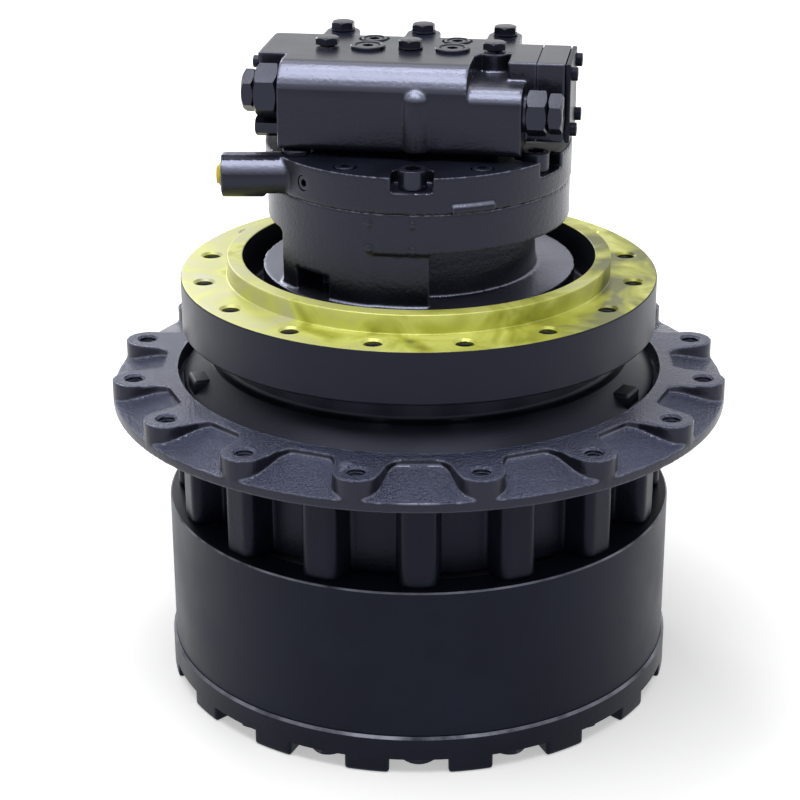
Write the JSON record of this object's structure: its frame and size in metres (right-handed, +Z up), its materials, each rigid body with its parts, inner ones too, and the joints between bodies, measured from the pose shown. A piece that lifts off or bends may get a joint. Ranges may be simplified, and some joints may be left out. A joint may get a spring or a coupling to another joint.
{
  "type": "excavator final drive",
  "caption": "Excavator track final drive standing on its end cover: travel motor and valve block, bolted mount ring, lobed sprocket hub, and planetary gears in the ring gear housing",
  "frame": {"origin": "on the drive's axis, level with the feet of the end cover's teeth, on which it stands", "axes": "+Z up the axis towards the motor and its valve block, -Y to the side seen in the picture, +X to that side's right"},
  "size_m": [0.6194, 0.6194, 0.6623],
  "materials": {
    "cast_paint": "gloss navy enamel on cast iron",
    "steel_paint": "gloss navy enamel on turned steel",
    "chromate_steel": "yellow-green chromate on machined faces, navy enamel on the cast sides",
    "gear_steel": "hardened",
    "ground_steel": "ground",
    "bronze": "machined",
    "plug_plastic": "moulded"
  },
  "bodies": {
    "spindle_side": {"spindle": "chromate_steel", "bearing_inner_lower": "ground_steel", "bearing_inner_upper": "ground_steel", "bearing_nut": "gear_steel", "seal_ring_spindle": "ground_steel", "carrier_2": "gear_steel", "planet_pin_2a": "ground_steel", "planet_pin_2b": "ground_steel", "planet_pin_2c": "ground_steel", "motor_case": "cast_paint", "motor_head": "cast_paint", "head_screw_a": "steel_paint", "head_screw_b": "steel_paint", "head_screw_c": "steel_paint", "head_screw_d": "steel_paint", "head_screw_e": "steel_paint", "head_screw_f": "steel_paint", "shipping_plug": "plug_plastic", "head_socket_plug": "steel_paint", "valve_plate": "bronze", "valve_block": "cast_paint", "valve_bolt_a": "steel_paint", "valve_bolt_b": "steel_paint", "valve_bolt_c": "steel_paint", "valve_bolt_d": "steel_paint", "valve_bolt_e": "steel_paint", "valve_bolt_f": "steel_paint", "port_plug_front_left": "steel_paint", "port_plug_front_right": "steel_paint", "port_plug_rear_left": "steel_paint", "port_plug_rear_right": "steel_paint", "spool_end_plug": "cast_paint", "spool_end_cap": "cast_paint", "test_plug": "cast_paint", "gauge_plug": "cast_paint", "relief_valve_body": "cast_paint", "relief_valve_cap": "cast_paint", "valve_side_cover": "cast_paint"},
    "hub_side": {"hub": "cast_paint", "ring_gear": "steel_paint", "end_cover": "cast_paint", "drain_plug": "ground_steel", "level_plug": "ground_steel", "fill_plug": "ground_steel", "bearing_outer_lower": "ground_steel", "bearing_outer_upper": "ground_steel", "seal_ring_hub": "ground_steel"},
    "input_shaft_group": {"input_shaft": "gear_steel", "cylinder_block": "ground_steel"},
    "carrier_1_group": {"carrier_1": "gear_steel", "sun_2": "gear_steel"},
    "planet_1a_body": {"planet_1a": "gear_steel"},
    "planet_1b_body": {"planet_1b": "gear_steel"},
    "planet_1c_body": {"planet_1c": "gear_steel"},
    "planet_2a_body": {"planet_2a": "gear_steel"},
    "planet_2b_body": {"planet_2b": "gear_steel"},
    "planet_2c_body": {"planet_2c": "gear_steel"},
    "swash_body": {"swash_plate": "gear_steel"},
    "spool_body": {"counterbalance_spool": "ground_steel"},
    "brake_body": {"brake_piston": "ground_steel"}
  },
  "joints": [
    {"name": "hub_spin", "type": "hinge", "parent": "spindle_side", "child": "hub_side", "pos_m": [0, 0, 0.2576], "axis": [0, 0, 1], "continuous": true},
    {"name": "input_spin", "type": "hinge", "parent": "spindle_side", "child": "input_shaft_group", "pos_m": [0, 0, 0.3], "axis": [0, 0, 1], "continuous": true},
    {"name": "carrier_1_spin", "type": "hinge", "parent": "spindle_side", "child": "carrier_1_group", "pos_m": [0, 0, 0.104], "axis": [0, 0, 1], "continuous": true},
    {"name": "planet_1a_spin", "type": "hinge", "parent": "carrier_1_group", "child": "planet_1a_body", "pos_m": [0.10003, -0.05775, 0.071], "axis": [0, 0, 1], "continuous": true},
    {"name": "planet_1b_spin", "type": "hinge", "parent": "carrier_1_group", "child": "planet_1b_body", "pos_m": [0, 0.1155, 0.071], "axis": [0, 0, 1], "continuous": true},
    {"name": "planet_1c_spin", "type": "hinge", "parent": "carrier_1_group", "child": "planet_1c_body", "pos_m": [-0.10003, -0.05775, 0.071], "axis": [0, 0, 1], "continuous": true},
    {"name": "planet_2a_spin", "type": "hinge", "parent": "spindle_side", "child": "planet_2a_body", "pos_m": [0.05775, -0.10003, 0.1543], "axis": [0, 0, 1], "continuous": true},
    {"name": "planet_2b_spin", "type": "hinge", "parent": "spindle_side", "child": "planet_2b_body", "pos_m": [0.05775, 0.10003, 0.1543], "axis": [0, 0, 1], "continuous": true},
    {"name": "planet_2c_spin", "type": "hinge", "parent": "spindle_side", "child": "planet_2c_body", "pos_m": [-0.1155, 0, 0.1543], "axis": [0, 0, 1], "continuous": true},
    {"name": "swash_tilt", "type": "hinge", "parent": "spindle_side", "child": "swash_body", "pos_m": [0, 0, 0.3312], "axis": [0.99, -0.1409, 0], "range_deg": [-8, 0]},
    {"name": "spool_slide", "type": "slide", "parent": "spindle_side", "child": "spool_body", "axis": [0.99, -0.1409, 0], "range_m": [-0.008, 0.008]},
    {"name": "brake_release", "type": "slide", "parent": "spindle_side", "child": "brake_body", "axis": [0, 0, 1], "range_m": [0, 0.003]}
  ],
  "couplings": [
    {"joint": "input_spin", "follows": "hub_spin", "ratio": -42.56},
    {"joint": "carrier_1_spin", "follows": "hub_spin", "ratio": -5.6},
    {"joint": "planet_1a_spin", "follows": "hub_spin", "ratio": 16.07},
    {"joint": "planet_1b_spin", "follows": "hub_spin", "ratio": 16.07},
    {"joint": "planet_1c_spin", "follows": "hub_spin", "ratio": 16.07},
    {"joint": "planet_2a_spin", "follows": "hub_spin", "ratio": 2.4348},
    {"joint": "planet_2b_spin", "follows": "hub_spin", "ratio": 2.4348},
    {"joint": "planet_2c_spin", "follows": "hub_spin", "ratio": 2.4348}
  ]
}
